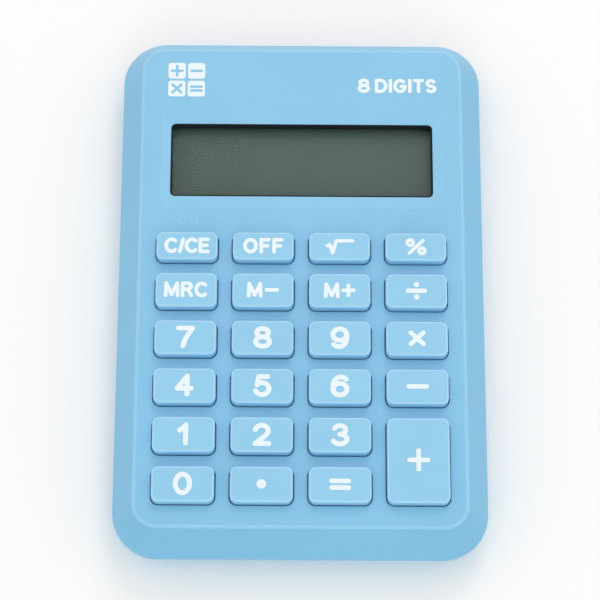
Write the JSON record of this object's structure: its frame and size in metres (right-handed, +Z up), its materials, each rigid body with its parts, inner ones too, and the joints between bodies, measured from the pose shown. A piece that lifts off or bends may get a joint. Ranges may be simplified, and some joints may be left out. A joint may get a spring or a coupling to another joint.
{
  "type": "pocket calculator",
  "caption": "Pocket calculator: bevelled two-part case, recessed display, travelling keys with a tall plus key, sliding cell door underneath.",
  "frame": {"origin": "middle of the case outline, on the flat underside", "axes": "+Z up out of the keys, +Y from the bottom row of keys to the display, +X to the right"},
  "size_m": [0.073, 0.109, 0.016],
  "materials": {
    "case_plastic": "fine matt moulded light blue plastic",
    "key_plastic": "fine matt moulded light blue plastic with white printed legends",
    "clear_acrylic": "clear gloss window",
    "gasket_foam": "black foam gasket",
    "lcd_polarizer": "grey green polarizing film",
    "lcd_glass": "thin clear glass",
    "lcd_reflector": "satin silver grey film",
    "white_plastic": "natural white plastic",
    "zebra_rubber": "layered black and grey elastomer",
    "silicone": "translucent milky silicone",
    "carbon": "matt black carbon",
    "board_laminate": "brown phenolic board with green solder mask",
    "epoxy_black": "black potting epoxy",
    "capacitor_sleeve": "dark blue shrink sleeve",
    "chip_ceramic": "black chip resistor",
    "cell_label": "printed cell label, no text",
    "nickel": "bright nickel plated spring steel",
    "red_lead": "red insulated wire",
    "black_lead": "black insulated wire",
    "zinc_steel": "zinc plated steel"
  },
  "bodies": {
    "root": {"front_case": "case_plastic", "rear_case": "case_plastic", "display_lens": "clear_acrylic", "lens_gasket": "gasket_foam", "front_polarizer": "lcd_polarizer", "front_glass": "lcd_glass", "rear_glass": "lcd_glass", "rear_reflector": "lcd_reflector", "lcd_holder": "white_plastic", "zebra_strip": "zebra_rubber", "dome_sheet": "silicone", "carbon_pills": "carbon", "contact_pads": "carbon", "circuit_board": "board_laminate", "glob_top_chip": "epoxy_black", "capacitor": "capacitor_sleeve", "resistors": "chip_ceramic", "aaa_cell": "cell_label", "positive_contact": "nickel", "negative_contact": "nickel", "negative_spring": "nickel", "positive_lead": "red_lead", "negative_lead": "black_lead", "case_screws": "zinc_steel", "board_screws": "zinc_steel"},
    "battery_door": {"battery_door": "case_plastic"},
    "key_0": {"key_0": "key_plastic"},
    "key_point": {"key_point": "key_plastic"},
    "key_equals": {"key_equals": "key_plastic"},
    "key_1": {"key_1": "key_plastic"},
    "key_2": {"key_2": "key_plastic"},
    "key_3": {"key_3": "key_plastic"},
    "key_plus": {"key_plus": "key_plastic"},
    "key_4": {"key_4": "key_plastic"},
    "key_5": {"key_5": "key_plastic"},
    "key_6": {"key_6": "key_plastic"},
    "key_minus": {"key_minus": "key_plastic"},
    "key_7": {"key_7": "key_plastic"},
    "key_8": {"key_8": "key_plastic"},
    "key_9": {"key_9": "key_plastic"},
    "key_times": {"key_times": "key_plastic"},
    "key_memory_recall": {"key_memory_recall": "key_plastic"},
    "key_memory_minus": {"key_memory_minus": "key_plastic"},
    "key_memory_plus": {"key_memory_plus": "key_plastic"},
    "key_divide": {"key_divide": "key_plastic"},
    "key_clear": {"key_clear": "key_plastic"},
    "key_off": {"key_off": "key_plastic"},
    "key_root": {"key_root": "key_plastic"},
    "key_percent": {"key_percent": "key_plastic"}
  },
  "joints": [
    {"name": "key_0_press", "type": "slide", "parent": "root", "child": "key_0", "axis": [0, 0, -1], "range_m": [0, 0.001], "stiffness_N_per_m": 500, "springref_m": -0.0006, "deforming": ["dome_sheet", "carbon_pills"]},
    {"name": "key_point_press", "type": "slide", "parent": "root", "child": "key_point", "axis": [0, 0, -1], "range_m": [0, 0.001], "stiffness_N_per_m": 500, "springref_m": -0.0006, "deforming": ["dome_sheet", "carbon_pills"]},
    {"name": "key_equals_press", "type": "slide", "parent": "root", "child": "key_equals", "axis": [0, 0, -1], "range_m": [0, 0.001], "stiffness_N_per_m": 500, "springref_m": -0.0006, "deforming": ["dome_sheet", "carbon_pills"]},
    {"name": "key_1_press", "type": "slide", "parent": "root", "child": "key_1", "axis": [0, 0, -1], "range_m": [0, 0.001], "stiffness_N_per_m": 500, "springref_m": -0.0006, "deforming": ["dome_sheet", "carbon_pills"]},
    {"name": "key_2_press", "type": "slide", "parent": "root", "child": "key_2", "axis": [0, 0, -1], "range_m": [0, 0.001], "stiffness_N_per_m": 500, "springref_m": -0.0006, "deforming": ["dome_sheet", "carbon_pills"]},
    {"name": "key_3_press", "type": "slide", "parent": "root", "child": "key_3", "axis": [0, 0, -1], "range_m": [0, 0.001], "stiffness_N_per_m": 500, "springref_m": -0.0006, "deforming": ["dome_sheet", "carbon_pills"]},
    {"name": "key_plus_press", "type": "slide", "parent": "root", "child": "key_plus", "axis": [0, 0, -1], "range_m": [0, 0.001], "stiffness_N_per_m": 500, "springref_m": -0.0006, "deforming": ["dome_sheet", "carbon_pills"]},
    {"name": "key_4_press", "type": "slide", "parent": "root", "child": "key_4", "axis": [0, 0, -1], "range_m": [0, 0.001], "stiffness_N_per_m": 500, "springref_m": -0.0006, "deforming": ["dome_sheet", "carbon_pills"]},
    {"name": "key_5_press", "type": "slide", "parent": "root", "child": "key_5", "axis": [0, 0, -1], "range_m": [0, 0.001], "stiffness_N_per_m": 500, "springref_m": -0.0006, "deforming": ["dome_sheet", "carbon_pills"]},
    {"name": "key_6_press", "type": "slide", "parent": "root", "child": "key_6", "axis": [0, 0, -1], "range_m": [0, 0.001], "stiffness_N_per_m": 500, "springref_m": -0.0006, "deforming": ["dome_sheet", "carbon_pills"]},
    {"name": "key_minus_press", "type": "slide", "parent": "root", "child": "key_minus", "axis": [0, 0, -1], "range_m": [0, 0.001], "stiffness_N_per_m": 500, "springref_m": -0.0006, "deforming": ["dome_sheet", "carbon_pills"]},
    {"name": "key_7_press", "type": "slide", "parent": "root", "child": "key_7", "axis": [0, 0, -1], "range_m": [0, 0.001], "stiffness_N_per_m": 500, "springref_m": -0.0006, "deforming": ["dome_sheet", "carbon_pills"]},
    {"name": "key_8_press", "type": "slide", "parent": "root", "child": "key_8", "axis": [0, 0, -1], "range_m": [0, 0.001], "stiffness_N_per_m": 500, "springref_m": -0.0006, "deforming": ["dome_sheet", "carbon_pills"]},
    {"name": "key_9_press", "type": "slide", "parent": "root", "child": "key_9", "axis": [0, 0, -1], "range_m": [0, 0.001], "stiffness_N_per_m": 500, "springref_m": -0.0006, "deforming": ["dome_sheet", "carbon_pills"]},
    {"name": "key_times_press", "type": "slide", "parent": "root", "child": "key_times", "axis": [0, 0, -1], "range_m": [0, 0.001], "stiffness_N_per_m": 500, "springref_m": -0.0006, "deforming": ["dome_sheet", "carbon_pills"]},
    {"name": "key_memory_recall_press", "type": "slide", "parent": "root", "child": "key_memory_recall", "axis": [0, 0, -1], "range_m": [0, 0.001], "stiffness_N_per_m": 500, "springref_m": -0.0006, "deforming": ["dome_sheet", "carbon_pills"]},
    {"name": "key_memory_minus_press", "type": "slide", "parent": "root", "child": "key_memory_minus", "axis": [0, 0, -1], "range_m": [0, 0.001], "stiffness_N_per_m": 500, "springref_m": -0.0006, "deforming": ["dome_sheet", "carbon_pills"]},
    {"name": "key_memory_plus_press", "type": "slide", "parent": "root", "child": "key_memory_plus", "axis": [0, 0, -1], "range_m": [0, 0.001], "stiffness_N_per_m": 500, "springref_m": -0.0006, "deforming": ["dome_sheet", "carbon_pills"]},
    {"name": "key_divide_press", "type": "slide", "parent": "root", "child": "key_divide", "axis": [0, 0, -1], "range_m": [0, 0.001], "stiffness_N_per_m": 500, "springref_m": -0.0006, "deforming": ["dome_sheet", "carbon_pills"]},
    {"name": "key_clear_press", "type": "slide", "parent": "root", "child": "key_clear", "axis": [0, 0, -1], "range_m": [0, 0.001], "stiffness_N_per_m": 500, "springref_m": -0.0006, "deforming": ["dome_sheet", "carbon_pills"]},
    {"name": "key_off_press", "type": "slide", "parent": "root", "child": "key_off", "axis": [0, 0, -1], "range_m": [0, 0.001], "stiffness_N_per_m": 500, "springref_m": -0.0006, "deforming": ["dome_sheet", "carbon_pills"]},
    {"name": "key_root_press", "type": "slide", "parent": "root", "child": "key_root", "axis": [0, 0, -1], "range_m": [0, 0.001], "stiffness_N_per_m": 500, "springref_m": -0.0006, "deforming": ["dome_sheet", "carbon_pills"]},
    {"name": "key_percent_press", "type": "slide", "parent": "root", "child": "key_percent", "axis": [0, 0, -1], "range_m": [0, 0.001], "stiffness_N_per_m": 500, "springref_m": -0.0006, "deforming": ["dome_sheet", "carbon_pills"]},
    {"name": "battery_door_slide", "type": "slide", "parent": "root", "child": "battery_door", "axis": [0, 1, 0], "range_m": [0, 0.0032]}
  ]
}
